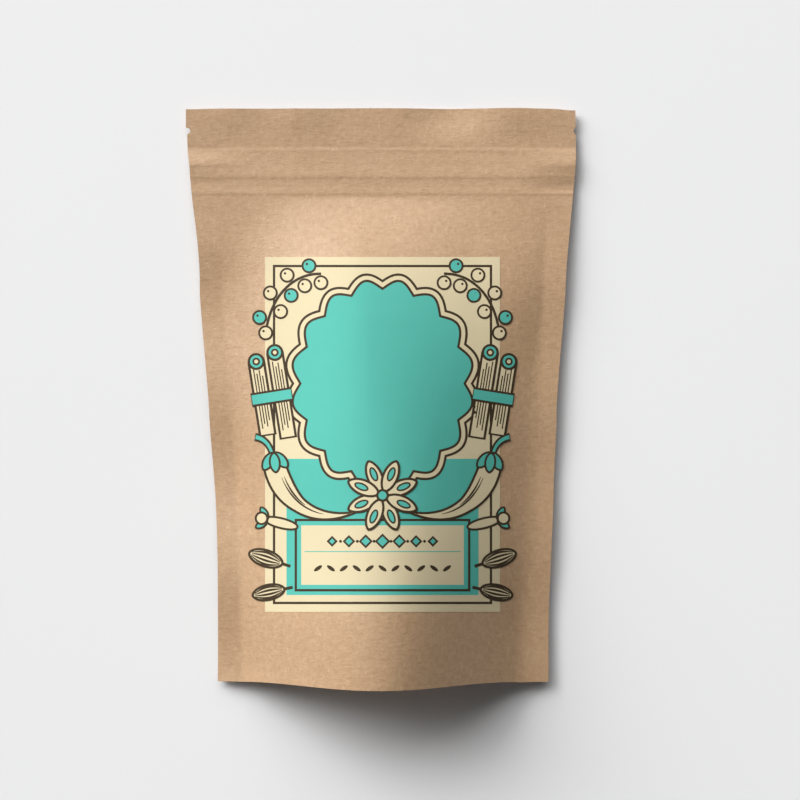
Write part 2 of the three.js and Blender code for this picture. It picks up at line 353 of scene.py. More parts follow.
    def rise(self, side, share, down):
        """Share of the bulge's height reached along the pouch."""
        past = max(down - self.bulge_start, 0.0)
        past = past * past / (past + self.shoulder_softness)
        steady = past / (LENGTH - self.bulge_start)
        shoulder = 1 - math.exp(-past / self.shoulder_length)
        to_seal = min(self.shoulder_spread * share, 1.0)
        shoulder_share = mix(self.shoulder_at_crest, self.shoulder_at_seal[side], to_seal)
        return math.sin(math.pi / 2 * mix(steady, shoulder, shoulder_share))

    def across(self, side, share, to_foot):
        """Share of the bulge's height left at a share of the way from its crest to a seal."""
        power = mix(self.dome_power_at_mouth[side], self.dome_power_at_foot, to_foot)
        ridge_share = mix(self.ridge_at_mouth[side], self.ridge_at_foot[side], to_foot)
        ridge = math.cos(math.pi / 2 * share) ** 2
        return mix(1 - share**power, ridge, ridge_share)

    def crown(self, down):
        """The front is highest a little before the foot and sinks again towards it."""
        sunk = max(down - self.crown_top, 0.0) / (LENGTH - self.crown_top)
        return self.crown_height * ramp(down, self.crown_start, self.crown_top) * (1 - sunk**2)

    def dents(self, x, down, share):
        """Small uneven swellings where the filling pushes the paper out."""
        filled = ramp(down, self.bulge_start, self.bulge_start + self.dent_fade) * (1 - share**6)
        dents = self.dent_height * unevenness(x, down, self.dent_size, self.dent_pattern)
        ripples = self.ripple_height * unevenness(x, down, self.ripple_size, self.ripple_pattern)
        return (dents + ripples) * filled

    def front(self, x, down):
        share = self.share(x, down)
        swell = self.bulge(x, down) + self.dents(x, down, share)
        return self.edges(x, down, share) + self.film + self.closing(x, down) + swell

    def back(self, x, down):
        share = self.share(x, down)
        past = max(share - self.contact_share, 0.0) / (1 - self.contact_share)
        touching = ramp(down, self.bulge_start, self.contact_end)
        relief = self.closing(x, down) * self.parted(x, down)
        raised = self.edges(x, down, share) - self.film - relief
        return raised * (1 - touching * (1 - past**self.back_curve))

    def parted(self, x, down):
        """1 where the walls part round the strip, -1 in the side seals, which rise with it."""
        inner = self.inner(side_of(x), down)
        return 1 - 2 * ramp(abs(x), inner - self.parted_before, inner + self.parted_after)

    def notch(self, side, down):
        """How far the side edge is cut in by a tear notch, and on the left just below it."""
        place = self.sizes.notch_down
        from_middle = abs(down - place) / (self.sizes.notch_width / 2)
        depth = self.sizes.notch_depth * self.notch_share[side]
        cut = depth * min(max(self.notch_steepness * (1 - from_middle), 0.0), 1.0)
        if down < place:
            return cut
        fade_start, fade_end = self.below_notch_fade
        below = 1 - ramp(down, fade_start * place, fade_end * place)
        return max(cut, self.below_notch[side] * below)

    def edge_across(self, u, down):
        """Place across for u from 0 at the left edge to 1 at the right, with even side seals."""
        seal = self.seal_columns
        left, right = -self.inner(LEFT, down), self.inner(RIGHT, down)
        if u < seal:
            edge = self.notch(LEFT, down) - self.station(LEFT, down)
            return mix(edge, left, u / seal)
        if u > 1 - seal:
            edge = self.station(RIGHT, down) - self.notch(RIGHT, down)
            return mix(right, edge, (u - 1 + seal) / seal)
        return mix(left, right, (u - seal) / (1 - 2 * seal))

    def along(self, x, down):
        """Place along the pouch: the foot edge is drawn in and the mouth edge not quite straight."""
        near_foot = ramp(down, LENGTH - self.foot_reach, LENGTH)
        drawn_in = self.sizes.foot_pull_in * (1 - self.share(x, down) ** 4) - self.foot_overhang
        near_mouth = 1 - ramp(down, 0.0, self.mouth_line_reach)
        dropped = through(MOUTH_LINE, x / MM) * MM
        return MOUTH_Y - down + drawn_in * near_foot - dropped * near_mouth

    def recess(self, share):
        """How deep the base film sits behind the skirts."""
        depth = mix(self.sizes.recess_middle, self.sizes.recess_corner, share**2)
        return depth * (1 - ramp(share, self.recess_fade, 1.0))


# ---- Making pieces ----

SHARP_ANGLE = math.radians(42)  # edges that turn more than this are shaded sharp


def add_object(name, data):
    made = bpy.data.objects.new(name, data)
    bpy.context.scene.collection.objects.link(made)
    return made


def add_shape(name, shape, finish):
    """Turns a bmesh into an object of one material."""
    mesh = bpy.data.meshes.new(name)
    shape.to_mesh(mesh)
    shape.free()
    mesh.materials.append(finish)
    return add_object(name, mesh)


def add_piece(name, shape, finish, node):
    """Adds a piece that rides with the pouch and stands for a node."""
    piece = add_shape(name, shape, finish)
    piece.data.shade_smooth()
    piece.data.set_sharp_from_angle(angle=SHARP_ANGLE)
    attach(piece, "root")
    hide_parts(node)


def unit_grid(columns, rows):
    """A flat grid from -1 to 1 both ways."""
    grid = bmesh.new()
    bmesh.ops.create_grid(grid, x_segments=columns, y_segments=rows, size=1.0)
    return grid


def thickened(shape, thickness):
    bmesh.ops.solidify(shape, geom=shape.faces[:], thickness=thickness)
    return shape


# ---- Paper walls ----

FINE_ROWS, FINE_REACH = 0.3, 30 * MM  # share of the rows over the mouth and strip, and their reach
WALL_FILL = 0.92  # the rest of the film's thickness is a hair's gap between the walls


def walls_row(v):
    """Distance down for v from 0 to 1: the rows are close over the mouth and the closing strip."""
    if v < FINE_ROWS:
        return FINE_REACH * v / FINE_ROWS
    return mix(FINE_REACH, LENGTH, (v - FINE_ROWS) / (1 - FINE_ROWS))


def lay_wall(wall, height, pouch):
    """Lays a grid on height(x, down)."""
    for vert in wall.verts:
        down = walls_row((1 - vert.co.y) / 2)
        x = pouch.edge_across((vert.co.x + 1) / 2, down)
        vert.co = (x, pouch.along(x, down), height(x, down))


def front_wall(pouch):
    wall = unit_grid(columns=130, rows=250)
    lay_wall(wall, pouch.front, pouch)
    bmesh.ops.recalc_face_normals(wall, faces=wall.faces[:])
    return thickened(wall, pouch.film * WALL_FILL)


def back_wall(pouch):
    wall = unit_grid(columns=84, rows=150)
    lay_wall(wall, pouch.back, pouch)
    bmesh.ops.reverse_faces(wall, faces=wall.faces[:])
    return thickened(wall, pouch.film * WALL_FILL)


# ---- Base film ----

FILM_THICKNESS = 0.09 * MM
FILM_GAP = 0.12 * MM  # between the paper skirts and the film along them
FILM_REACH = 0.985  # how much of the foot's width the film takes up, from either edge
SKIRT_ROWS = 0.2  # share of the film's rows along each skirt
LEAST_DEPTH = 0.6 * MM
BEHIND_FOOT = 0.3 * MM
SWELL_HEIGHT, SWELL_POWER = 3.5 * MM, 0.8
CREASE_HEIGHT, CREASE_WIDTH = 0.45 * MM, 0.022
PUCKER_HEIGHT, PUCKER_SIZE, PUCKER_PATTERN = 0.5 * MM, (11 * MM, 1 / 1.7), 5.3


def base_swell(pouch, x, depth, turn):
    """How far the filling pushes the base film out, with the crease where the film was folded."""
    full = min(depth / pouch.sizes.recess_middle, 1.0)
    arch = math.sin(math.pi * turn)
    swell = SWELL_HEIGHT * arch**SWELL_POWER
    crease = CREASE_HEIGHT * math.exp(-(((turn - 0.5) / CREASE_WIDTH) ** 2))
    puckers = PUCKER_HEIGHT * unevenness(x, turn, PUCKER_SIZE, PUCKER_PATTERN) * arch
    return full * (swell + crease + puckers)


def film_down(pouch, x, v, turn):
    """How far down the film lies: in along the front skirt, over the base and out along the back."""
    depth = max(pouch.recess(pouch.share(x, LENGTH)), LEAST_DEPTH)
    inner, foot = LENGTH - depth, LENGTH - BEHIND_FOOT
    if v < SKIRT_ROWS:
        return mix(foot, inner, v / SKIRT_ROWS)
    if v > 1 - SKIRT_ROWS:
        return mix(inner, foot, (v - 1 + SKIRT_ROWS) / SKIRT_ROWS)
    return inner + base_swell(pouch, x, depth, turn)


def film_place(pouch, u, v, turn):
    """Point of the film's outer side; turn goes from 0 at the front skirt to 1 at the back one."""
    x = pouch.edge_across(mix(1 - FILM_REACH, FILM_REACH, u), LENGTH)
    down = film_down(pouch, x, v, turn)
    high = pouch.front(x, down) - pouch.film - FILM_GAP
    low = min(pouch.back(x, down) + pouch.film + FILM_GAP, high)
    z = mix(high, low, (1 - math.cos(math.pi * turn)) / 2)
    return (x, pouch.along(x, LENGTH) + LENGTH - down, z)


def base_film(pouch):
    """The film between the skirts, given its thickness on the side that can't be seen."""
    film = unit_grid(columns=110, rows=90)
    hidden_side = {}
    for vert in film.verts:
        u, v = (vert.co.x + 1) / 2, (1 - vert.co.y) / 2
        turn = min(max((v - SKIRT_ROWS) / (1 - 2 * SKIRT_ROWS), 0.0), 1.0)
        vert.co = film_place(pouch, u, v, turn)
        away = Vector((0, math.sin(math.pi * turn), math.cos(math.pi * turn)))
        hidden_side[tuple(vert.co)] = away * FILM_THICKNESS
    made = bmesh.ops.extrude_face_region(film, geom=film.faces[:])["geom"]
    for part in made:
        if isinstance(part, bmesh.types.BMVert):
            part.co = part.co + hidden_side[tuple(part.co)]
    bmesh.ops.recalc_face_normals(film, faces=film.faces[:])
    return film


# ---- Label and print ----

# The print is drawn flat in millimetres, from the middle of the label, as the camera sees it.
CELL = 2.0  # side of the squares that flat shapes are cut to
ON_THE_CUT = 1e-5
CAMERA_X, CAMERA_Y = 6.5 * MM, -1.9 * MM
LABEL_X, LABEL_Y = -5.83 * MM, -11.5 * MM  # from under the camera to the middle of the label
PAPER_FILL, INK_FILL = 0.9, 0.8  # share of its step that a layer fills, so that layers don't touch
TEAL, CREAM, INK = 0, 1, 2

# The layer that each printed shape starts on, counted from the label paper.
BORDER_LAYER, BLOCK_LAYER, FIELD_LAYER, PANEL_LAYER, ORNAMENT_LAYER = 1, 2, 3, 4, 5
SPRIG_LAYER, QUILL_LAYER, CLOVE_LAYER, CARDAMOM_LAYER = 5, 5, 6, 6
CHILLI_LAYER, ANISE_LAYER = 9, 15


class LabelMap:
    """Lays flat label places on the front, so that straight edges look straight to the camera."""

    rounds = 4  # after these the height of a place no longer changes

    def __init__(self, pouch, camera_height):
        self.pouch = pouch
        self.camera_height = camera_height

    def place(self, across, up, lift):
        """Point over the front at a flat place, in metres, held above the paper by lift."""
        height = 0.0
        for _ in range(self.rounds):
            nearness = 1 - height / self.camera_height
            x = CAMERA_X + (LABEL_X + across) * nearness
            y = CAMERA_Y + (LABEL_Y + up) * nearness
            height = self.pouch.front(x, MOUTH_Y - y) + lift
        return (x, y, height)


def label_map_of(scene):
    return LabelMap(PouchShape(scene.pouch_sizes), scene.pouch_studio.camera_height)


def everything_in(bed):
    return bed.verts[:] + bed.edges[:] + bed.faces[:]


def cut_to_cells(bed):
    """Cuts flat shapes along a square grid, so that each bit can follow the curved front."""
    reach = max(max(abs(vert.co.x), abs(vert.co.y)) for vert in bed.verts)
    steps = int(reach / CELL) + 1
    for normal in ((1, 0, 0), (0, 1, 0)):
        for step in range(-steps, steps + 1):
            geom = everything_in(bed)
            place = [step * CELL * part for part in normal]
            bmesh.ops.bisect_plane(bed, geom=geom, dist=ON_THE_CUT, plane_co=place, plane_no=normal)


def turn_up(face):
    face.normal_update()
    if face.normal.z < 0:
        face.normal_flip()


def closed_shape(bed, outline, steps, bands, core, level):
    """A filled shape. outline(turn) is its edge, bands are (width, colour) inwards of the edge."""
    ring = bmesh.ops.create_circle(bed, cap_ends=True, segments=steps, radius=1.0)["verts"]
    for i, vert in enumerate(ring):
        a, b = outline(i / steps)
        vert.co = (a, b, level)
    face = ring[0].link_faces[0]
    turn_up(face)
    for width, colour in bands:
        rim = bmesh.ops.inset_individual(bed, faces=[face], thickness=width, use_even_offset=True)
        for part in rim["faces"]:
            part.material_index = colour
    face.material_index = core


def band(bed, line_of, half_width, colour, level, steps):
    """A strip along line_of(s) for s from 0 to 1, half_width(s) to each side of it."""
    grid = bmesh.ops.create_grid(bed, x_segments=steps, y_segments=1, size=1.0)["verts"]
    faces = {face for vert in grid for face in vert.link_faces}
    near = 1e-3
    for vert in grid:
        s = (vert.co.x + 1) / 2
        here = Vector(line_of(s))
        before, after = line_of(max(s - near, 0.0)), line_of(min(s + near, 1.0))
        along = (Vector(after) - Vector(before)).normalized()
        side = Vector((-along.y, along.x)) * vert.co.y * half_width(s)
        vert.co = (here.x + side.x, here.y + side.y, level)
    for face in faces:
        turn_up(face)
        face.material_index = colour


def from_root(root, angle, along, off=0.0):
    """Place at a distance from root in a direction, and off to the left of it."""
    x = root[0] + math.cos(angle) * along - math.sin(angle) * off
    y = root[1] + math.sin(angle) * along + math.cos(angle) * off
    return x, y


def rectangle(width, height, x=0.0, y=0.0):
    corners = ((-1, -1), (1, -1), (1, 1), (-1, 1))

    def outline(turn):
        a, b = corners[int(round(turn * 4)) % 4]
        return x + a * width / 2, y + b * height / 2

    return outline


def pod(root, angle, length, width, sharpness):
    """Edge of a slim pod that starts at root: sharpness 1 is an ellipse, more is pointed."""

    def outline(turn):
        theta = math.tau * turn
        sine = math.sin(theta)
        off = width / 2 * math.copysign(abs(sine) ** sharpness, sine)
        return from_root(root, angle, length * (1 - math.cos(theta)) / 2, off)

    return outline


def ring_of(middle, radius):
    """Edge of a circle, or with few steps of a polygon that stands on a point."""
    return lambda turn: from_root(middle, math.tau * turn, radius)


def curve(start, pull_start, pull_end, end):
    """Smooth line from start to end, drawn towards two points on the way."""

    def point(s):
        r = 1 - s
        weights = (r**3, 3 * r * r * s, 3 * r * s * s, s**3)
        places = (start, pull_start, pull_end, end)
        return tuple(sum(w * place[i] for w, place in zip(weights, places)) for i in (0, 1))

    return point


def straight(start, end):
    return lambda s: (mix(start[0], end[0], s), mix(start[1], end[1], s))


def to_one_side(line_of, s, offset):
    """Place beside a line: offset is to the left of it at s."""
    here = Vector(line_of(s))
    along = (Vector(line_of(s + 0.01)) - here).normalized()
    return here + Vector((-along.y, along.x)) * offset


def beside(line_of, offset, start, end):
    """Part of a line, moved to one side of it; the offset shrinks towards the line's end."""

    def point(s):
        here = mix(start, end, s)
        return tuple(to_one_side(line_of, here, offset * (1 - here)))

    return point


def outlined_band(bed, line_of, half_width, line, colour, level, steps):
    """A strip of one colour with a dark line all round it."""
    first, last, narrowest = 0.02, 0.98, 0.01

    def inner_line(s):
        return line_of(mix(first, last, s))

    def inner_width(s):
        return max(half_width(mix(first, last, s)) - line, narrowest)

    band(bed, line_of, half_width, INK, level, steps)
    band(bed, inner_line, inner_width, colour, level + 1, steps)


def border(bed, sizes):
    inset = 2 * sizes.border_inset / MM
    outline = rectangle(sizes.width / MM - inset, sizes.height / MM - inset)
    closed_shape(bed, outline, 4, [(sizes.line / MM, INK)], CREAM, BORDER_LAYER)


def scalloped_field(bed, sizes):
    """The large field: a line, a pale gap and a line round a plain core, all scalloped."""
    y, half_width, half_height, depth, pale_gap = 17.0, 30.3, 34.6, 2.7, 1.3
    steps = sizes.scallops * 14
    line = sizes.line / MM

    def outline(turn):
        theta = math.tau * turn
        arc = depth * abs(math.sin(theta * sizes.scallops / 2))
        return (half_width + arc) * math.cos(theta), y + (half_height + arc) * math.sin(theta)

    bands = [(line, INK), (pale_gap, CREAM), (line, INK)]
    closed_shape(bed, outline, steps, bands, TEAL, FIELD_LAYER)


def framed_panel(bed, sizes):
    """The plain block below the field, and the framed panel on it."""
    y, width, height, frame_width = -40.2, 58.6, 24.2, 1.4
    beside_panel, above_panel, below_panel = 2.7, 20.0, 1.2
    chain_up, rule_up, seeds_down = 4.6, 1.2, 4.4
    line = sizes.line / MM
    top, bottom = y + height / 2 + above_panel, y - height / 2 - below_panel
    block = rectangle(width + 2 * beside_panel, top - bottom, 0.0, (top + bottom) / 2)
    closed_shape(bed, block, 4, [], TEAL, BLOCK_LAYER)
    bands = [(line, INK), (frame_width, TEAL)]
    closed_shape(bed, rectangle(width, height, 0.0, y), 4, bands, CREAM, PANEL_LAYER)
    lozenge_chain(bed, y + chain_up, line * 0.8)
    thin_rule(bed, y + rule_up)
    seed_row(bed, y - seeds_down)


def lozenge_chain(bed, y, line):
    """A row of lozenges that are smaller towards its ends, with a dot between each two."""
    pitch, half, shrink, dot = 5.6, 2.6, 0.25, 0.5
    for i in range(-3, 4):
        lozenge = ring_of((pitch * i, y), half - shrink * abs(i))
        closed_shape(bed, lozenge, 4, [(line, INK)], TEAL, ORNAMENT_LAYER)
    for i in range(-3, 3):
        closed_shape(bed, ring_of((pitch * (i + 0.5), y), dot), 12, [], INK, ORNAMENT_LAYER)


def thin_rule(bed, y):
    reach, half_width = 26.0, 0.14
    band(bed, straight((-reach, y), (reach, y)), lambda s: half_width, TEAL, ORNAMENT_LAYER, 4)


def seed_row(bed, y):
    """Caraway seeds that lean left and right in turn."""
    pitch, length, width, lean = 4.3, 3.2, 1.25, math.radians(35)
    for i in range(-5, 6):
        angle = lean if i % 2 else -lean
        root = from_root((pitch * i, y), angle, -length / 2)
        closed_shape(bed, pod(root, angle, length, width, 1.1), 18, [], INK, ORNAMENT_LAYER)


def star_anise(bed, line, level):
    """Eight open pods round a middle, each with one seed."""
    middle, radius, pods = (0.0, -20.3), 12.7, 8
    hub, seed_start, seed_length, seed_width = 1.0, 0.4 * radius, 0.4 * radius, 0.2 * radius
    length = radius - hub
    shell_width, core_radius = length * 0.48, radius * 0.17
    for i in range(pods):
        angle = math.tau * (i + 0.5) / pods
        over = level + 2 * (i % 2)
        shell = pod(from_root(middle, angle, hub), angle, length, shell_width, 1.25)
        closed_shape(bed, shell, 36, [(line, INK)], CREAM, over)
        seed = pod(from_root(middle, angle, seed_start), angle, seed_length, seed_width, 1.0)
        closed_shape(bed, seed, 24, [(line * 0.7, INK)], TEAL, over + 1)
    closed_shape(bed, ring_of(middle, core_radius), 24, [(line, INK)], TEAL, level + 4)


def chilli(bed, line, level):
    """A curved pepper: its stem is past the label's edge and its tip near the middle."""
    body = curve((36.5, -8.0), (33.5, -23.5), (22.0, -30.5), (8.0, -25.5))
    stem = curve((36.2, -9.0), (37.0, -4.5), (38.5, -1.5), (42.5, -0.8))
    cap, cap_angle, cap_length, cap_width = (36.35, -5.8), math.radians(-97), 7.2, 4.0
    thickest, tip_half_width = 4.1, 0.35
    fine_line = line * 0.85

    def half_width(s):
        swell = 0.86 + 0.14 * math.sin(math.pi * min(2.2 * s, 1.0))
        return thickest * (1 - s**1.6) * swell + tip_half_width

    def stripe_width(s):
        return 0.3 * math.sin(math.pi * mix(0.08, 0.92, s))

    outlined_band(bed, body, half_width, line, CREAM, level, 44)
    for offset, end in ((1.1, 0.7), (2.2, 0.5)):
        band(bed, beside(body, -offset, 0.16, end), stripe_width, INK, level + 2, 22)
    outlined_band(bed, stem, lambda s: 1.0 + 0.35 * s, fine_line, TEAL, level + 2, 18)
    for turn, over in ((-0.62, 4), (0.62, 5), (0.0, 6)):
        tip = pod(cap, cap_angle + turn, cap_length, cap_width, 1.2)
        closed_shape(bed, tip, 24, [(fine_line, INK)], TEAL, level + over)


def berry_sprig(bed, line, level):
    """A curved stem with peppercorns on both sides and one at its end, in an upper corner."""
    stem = curve((20.5, 53.6), (30.0, 53.8), (37.5, 46.0), (39.0, 33.5))
    stem_width, berry, offset, last = 0.42, 2.5, 3.0, 8
    eye, eye_x, eye_y = 0.42, 0.7, 0.6
    band(bed, stem, lambda s: stem_width, INK, level, 30)
    for i in range(last + 1):
        off = 0.0 if i == last else math.copysign(offset, i % 2 - 0.5)
        place = to_one_side(stem, 0.99 * i / last, off)
        colour = TEAL if i % 3 == 1 else CREAM
        closed_shape(bed, ring_of(place, berry), 26, [(line * 0.85, INK)], colour, level + 1)
        shine = ring_of((place.x + eye_x, place.y + eye_y), eye)
        closed_shape(bed, shine, 10, [], INK, level + 2)


def quill_bundle(bed, line, level):
    """Two cinnamon quills side by side, tied round the middle."""
    lean, middle = math.radians(9), Vector((36.9, 12.5))
    tie_reach, tie_half_width = 6.9, 2.3
    forward = Vector((math.sin(lean), math.cos(lean)))
    sideways = Vector((math.cos(lean), -math.sin(lean)))
    for offset, length in ((-3.3, 29.0), (3.3, 25.0)):
        cinnamon_quill(bed, middle + sideways * offset, forward, length, line, level)
    tie = straight(middle - sideways * tie_reach, middle + sideways * tie_reach)
    outlined_band(bed, tie, lambda s: tie_half_width, line * 0.9, TEAL, level + 5, 8)


def cinnamon_quill(bed, centre, forward, length, line, level):
    """One rolled quill with fine grooves along it and a round open end."""
    half_width, groove, mouth, hollow = 2.95, 0.2, 2.85, 1.3
    sideways = Vector((forward.y, -forward.x))
    low, high = centre - forward * length / 2, centre + forward * length / 2
    outlined_band(bed, straight(low, high), lambda s: half_width, line, CREAM, level, 12)
    for offset, reach in ((-1.35, 0.3), (-0.5, 0.38), (0.4, 0.34), (1.3, 0.4)):
        start = centre + sideways * offset - forward * length * reach
        end = centre + sideways * offset + forward * length * reach
        band(bed, straight(start, end), lambda s: groove, INK, level + 2, 10)
    closed_shape(bed, ring_of(high, mouth), 30, [(line, INK)], TEAL, level + 3)
    closed_shape(bed, ring_of(high, hollow), 18, [(line * 0.8, INK)], CREAM, level + 4)


def clove(bed, line, level):
    """A clove: a slim stem, two calyx tips and a round bud."""
    root, angle = (28.0, -31.0), math.radians(14)
    length, width, neck_at, bud_at, bud_radius = 12.0, 4.0, 10.4, 12.7, 2.3
    tip_length, tip_width, tip_turn = 5.2, 2.8, 0.8
    stem = pod(root, angle, length, width, 0.85)
    neck = from_root(root, angle, neck_at)
    closed_shape(bed, stem, 30, [(line * 0.9, INK)], CREAM, level)
    for turn in (-tip_turn, tip_turn):
        tip = pod(neck, angle + turn, tip_length, tip_width, 1.2)
        closed_shape(bed, tip, 20, [(line * 0.8, INK)], TEAL, level + 1)
    bud = ring_of(from_root(root, angle, bud_at), bud_radius)
    closed_shape(bed, bud, 24, [(line * 0.9, INK)], CREAM, level + 2)


def pod_rib(root, angle, length, off):
    """A line along a pod that bows out by off in the middle."""

    def point(s):
        along = length * mix(0.1, 0.9, s)
        return from_root(root, angle, along, off * math.sin(math.pi * along / length))

    return point


def cardamom(bed, root, angle, length, line, level):
    """A cardamom pod with ribs along it and a short stalk."""
    stalk, stalk_width, width = 2.4, 0.5, 0.5 * length
    stalk_line = straight(from_root(root, angle, -stalk), from_root(root, angle, 1.0))
    band(bed, stalk_line, lambda s: stalk_width, INK, level, 4)
    closed_shape(bed, pod(root, angle, length, width, 1.1), 36, [(line, INK)], CREAM, level + 1)

    def rib_width(s):
        return 0.12 + 0.26 * math.sin(math.pi * s)

    for share in (-0.62, -0.22, 0.22, 0.62):
        rib = pod_rib(root, angle, length, share * width / 2)
        band(bed, rib, rib_width, INK, level + 2, 16)


def draw_print(sizes):
    """All printed shapes on one flat bed; each vertex's height counts the layers below it."""
    bed = bmesh.new()
    line = sizes.line / MM
    berry_sprig(bed, line, SPRIG_LAYER)
    quill_bundle(bed, line, QUILL_LAYER)
    chilli(bed, line, CHILLI_LAYER)
    clove(bed, line, CLOVE_LAYER)
    for root, degrees, length in (((33.0, -43.2), 18, 12.4), ((32.3, -51.4), -12, 11.6)):
        cardamom(bed, root, math.radians(degrees), length, line, CARDAMOM_LAYER)
    bmesh.ops.mirror(bed, geom=everything_in(bed), axis="X", merge_dist=0.0)
    for face in bed.faces:
        turn_up(face)
    border(bed, sizes)
    scalloped_field(bed, sizes)
    framed_panel(bed, sizes)
    star_anise(bed, line, ANISE_LAYER)
    return bed


def keep_colour(bed, colour, label_map, sizes):
    """A copy of the bed with one colour only, laid on the front and given a thickness."""
    inked = bed.copy()
    others = [face for face in inked.faces if face.material_index != colour]
    bmesh.ops.delete(inked, geom=others, context="FACES")
    for face in inked.faces:
        face.material_index = 0
    for vert in inked.verts:
        lift = sizes.paper + vert.co.z * sizes.ink_step
        vert.co = label_map.place(vert.co.x * MM, vert.co.y * MM, lift)
    return thickened(inked, sizes.ink_step * INK_FILL)


def label_paper(label_map, sizes):
    paper = bmesh.new()
    outline = rectangle(sizes.width / MM, sizes.height / MM)
    closed_shape(paper, outline, 4, [], 0, 0)
    cut_to_cells(paper)
    for vert in paper.verts:
        vert.co = label_map.place(vert.co.x * MM, vert.co.y * MM, sizes.paper)
    return thickened(paper, sizes.paper * PAPER_FILL)


# ---- Materials ----


class Socket:
    """A node's output, on which arithmetic adds Math nodes."""

    def __init__(self, finish, link):
        self.finish = finish
        self.link = link

    def _math(self, operation, first, second):
        return self.finish.node("ShaderNodeMath", {"operation": operation}, {0: first, 1: second})

    def __add__(self, other):
        return self._math("ADD", self, other)

    __radd__ = __add__

    def __mul__(self, other):
        return self._math("MULTIPLY", self, other)

    __rmul__ = __mul__


class Finish:
    """A material and the nodes in it."""

    def __init__(self, name):
        self.material = bpy.data.materials.new(name)
        self.material.use_nodes = True
        self.tree = self.material.node_tree
        self.shader = self.tree.nodes["Principled BSDF"]

    def _feed(self, socket, value):
        if isinstance(value, Socket):
            self.tree.links.new(value.link, socket)
        else:
            socket.default_value = value

    def node(self, kind, settings=None, inputs=None, output=0):
        """Adds a node: its settings first, then the values or links of its sockets."""
        made = self.tree.nodes.new(kind)
        for name, value in (settings or {}).items():
            setattr(made, name, value)
        for key, value in (inputs or {}).items():
            self._feed(made.inputs[key], value)
        return Socket(self, made.outputs[output])

    def place(self):
        return self.node("ShaderNodeTexCoord", output="Object")

    def stretched(self, x, y, z):
        return self.node("ShaderNodeMapping", inputs={"Vector": self.place(), "Scale": (x, y, z)})

    def noise(self, where, scale, detail=2.0, roughness=0.5):
        inputs = {"Vector": where, "Scale": scale, "Detail": detail, "Roughness": roughness}
        return self.node("ShaderNodeTexNoise", inputs=inputs)

    def clamp_between(self, value, low, high):
        inputs = {"Value": value, "From Min": low, "From Max": high}
        return self.node("ShaderNodeMapRange", {"clamp": True}, inputs)

    def mix_colours(self, share, first, second):
        """A Mix node takes two colours at its sockets 6 and 7, and gives one at its output 2."""
        inputs = {0: share, 6: first, 7: second}
        return self.node("ShaderNodeMix", {"data_type": "RGBA"}, inputs, output=2)

    def bump(self, height, strength, distance):
        inputs = {"Height": height, "Strength": strength, "Distance": distance}
        return self.node("ShaderNodeBump", inputs=inputs)

    def set(self, **values):
        for name, value in values.items():
            self._feed(self.shader.inputs[name.replace("_", " ")], value)


def tinted(colour, factor, warm=0.0):
    """A lighter or darker version of a colour, with an alpha of 1."""
    shares = (1 + warm, 1.0, 1 - warm)
    return (*(min(part * factor * share, 1.0) for part, share in zip(colour, shares)), 1.0)


# Scales of the patterns, in turns a metre. Fibres have one scale along each axis.
KRAFT_CLOUDS, KRAFT_PATCHES, KRAFT_MOTTLE, KRAFT_GRAIN = 60.0, 240.0, 520.0, 1500.0
FIBRES_ACROSS, FIBRES_ALONG = (330.0, 1250.0, 700.0), (1150.0, 400.0, 700.0)
INK_CLOUDS, LABEL_TOOTH = 160.0, 2600.0


def kraft_paper(colour):
    """Brown kraft: cloudy pulp, short fibres both light and dark, and a fine tooth."""
    finish = Finish("kraft_paper")
    place = finish.place()
    cloud = finish.noise(place, KRAFT_CLOUDS, detail=3.0)
    patch = finish.noise(place, KRAFT_PATCHES)
    mottle = finish.noise(place, KRAFT_MOTTLE, detail=3.0, roughness=0.7)
    grain = finish.noise(place, KRAFT_GRAIN, detail=3.0, roughness=0.65)
    across = finish.noise(finish.stretched(*FIBRES_ACROSS), 1.0, detail=3.0, roughness=0.6)
    along = finish.noise(finish.stretched(*FIBRES_ALONG), 1.0, detail=3.0, roughness=0.6)
    dark_fibre = finish.clamp_between(across, 0.56, 0.70)
    light_fibre = finish.clamp_between(along, 0.56, 0.70)
    spread = finish.clamp_between(mottle, 0.36, 0.64)
    base = finish.mix_colours(cloud, tinted(colour, 0.97, 0.03), tinted(colour, 1.06, -0.04))
    base = finish.mix_colours(patch * 0.5, base, tinted(colour, 0.97, -0.06))
    base = finish.mix_colours(spread * 0.85, base, tinted(colour, 0.85, 0.02))
    base = finish.mix_colours(light_fibre * 0.4, base, tinted(colour, 1.3, -0.08))
    base = finish.mix_colours(dark_fibre * 0.4, base, tinted(colour, 0.6, 0.05))
    tooth = grain * 0.5 + mottle * 1.1 + across * 0.7
    finish.set(
        Base_Color=base,
        Roughness=mottle * 0.16 + 0.44,
        Normal=finish.bump(tooth, strength=0.5, distance=0.19 * MM),
        Specular_IOR_Level=0.5,
    )
    return finish.material


def printed_paper(name, colour, roughness, mottle):
    """Smooth label paper or solid print on it, with a faint tooth and uneven ink."""
    finish = Finish(name)
    place = finish.place()
    cloud = finish.noise(place, INK_CLOUDS)
    tooth = finish.noise(place, LABEL_TOOTH, detail=3.0, roughness=0.6)
    base = finish.mix_colours(cloud, tinted(colour, 1 - mottle), tinted(colour, 1 + mottle))
    base = finish.mix_colours(tooth * 0.35, base, tinted(colour, 1 - 2 * mottle))
    finish.set(
        Base_Color=base,
        Roughness=tooth * 0.12 + roughness,
        Normal=finish.bump(tooth, strength=0.15, distance=0.05 * MM),
        Specular_IOR_Level=0.25,
    )
    return finish.material


def table_top(colour):
    finish = Finish("table_top")
    finish.set(Base_Color=(*colour, 1.0), Roughness=0.8, Specular_IOR_Level=0.1)
    return finish.material


# ---- Surface, lights and camera ----

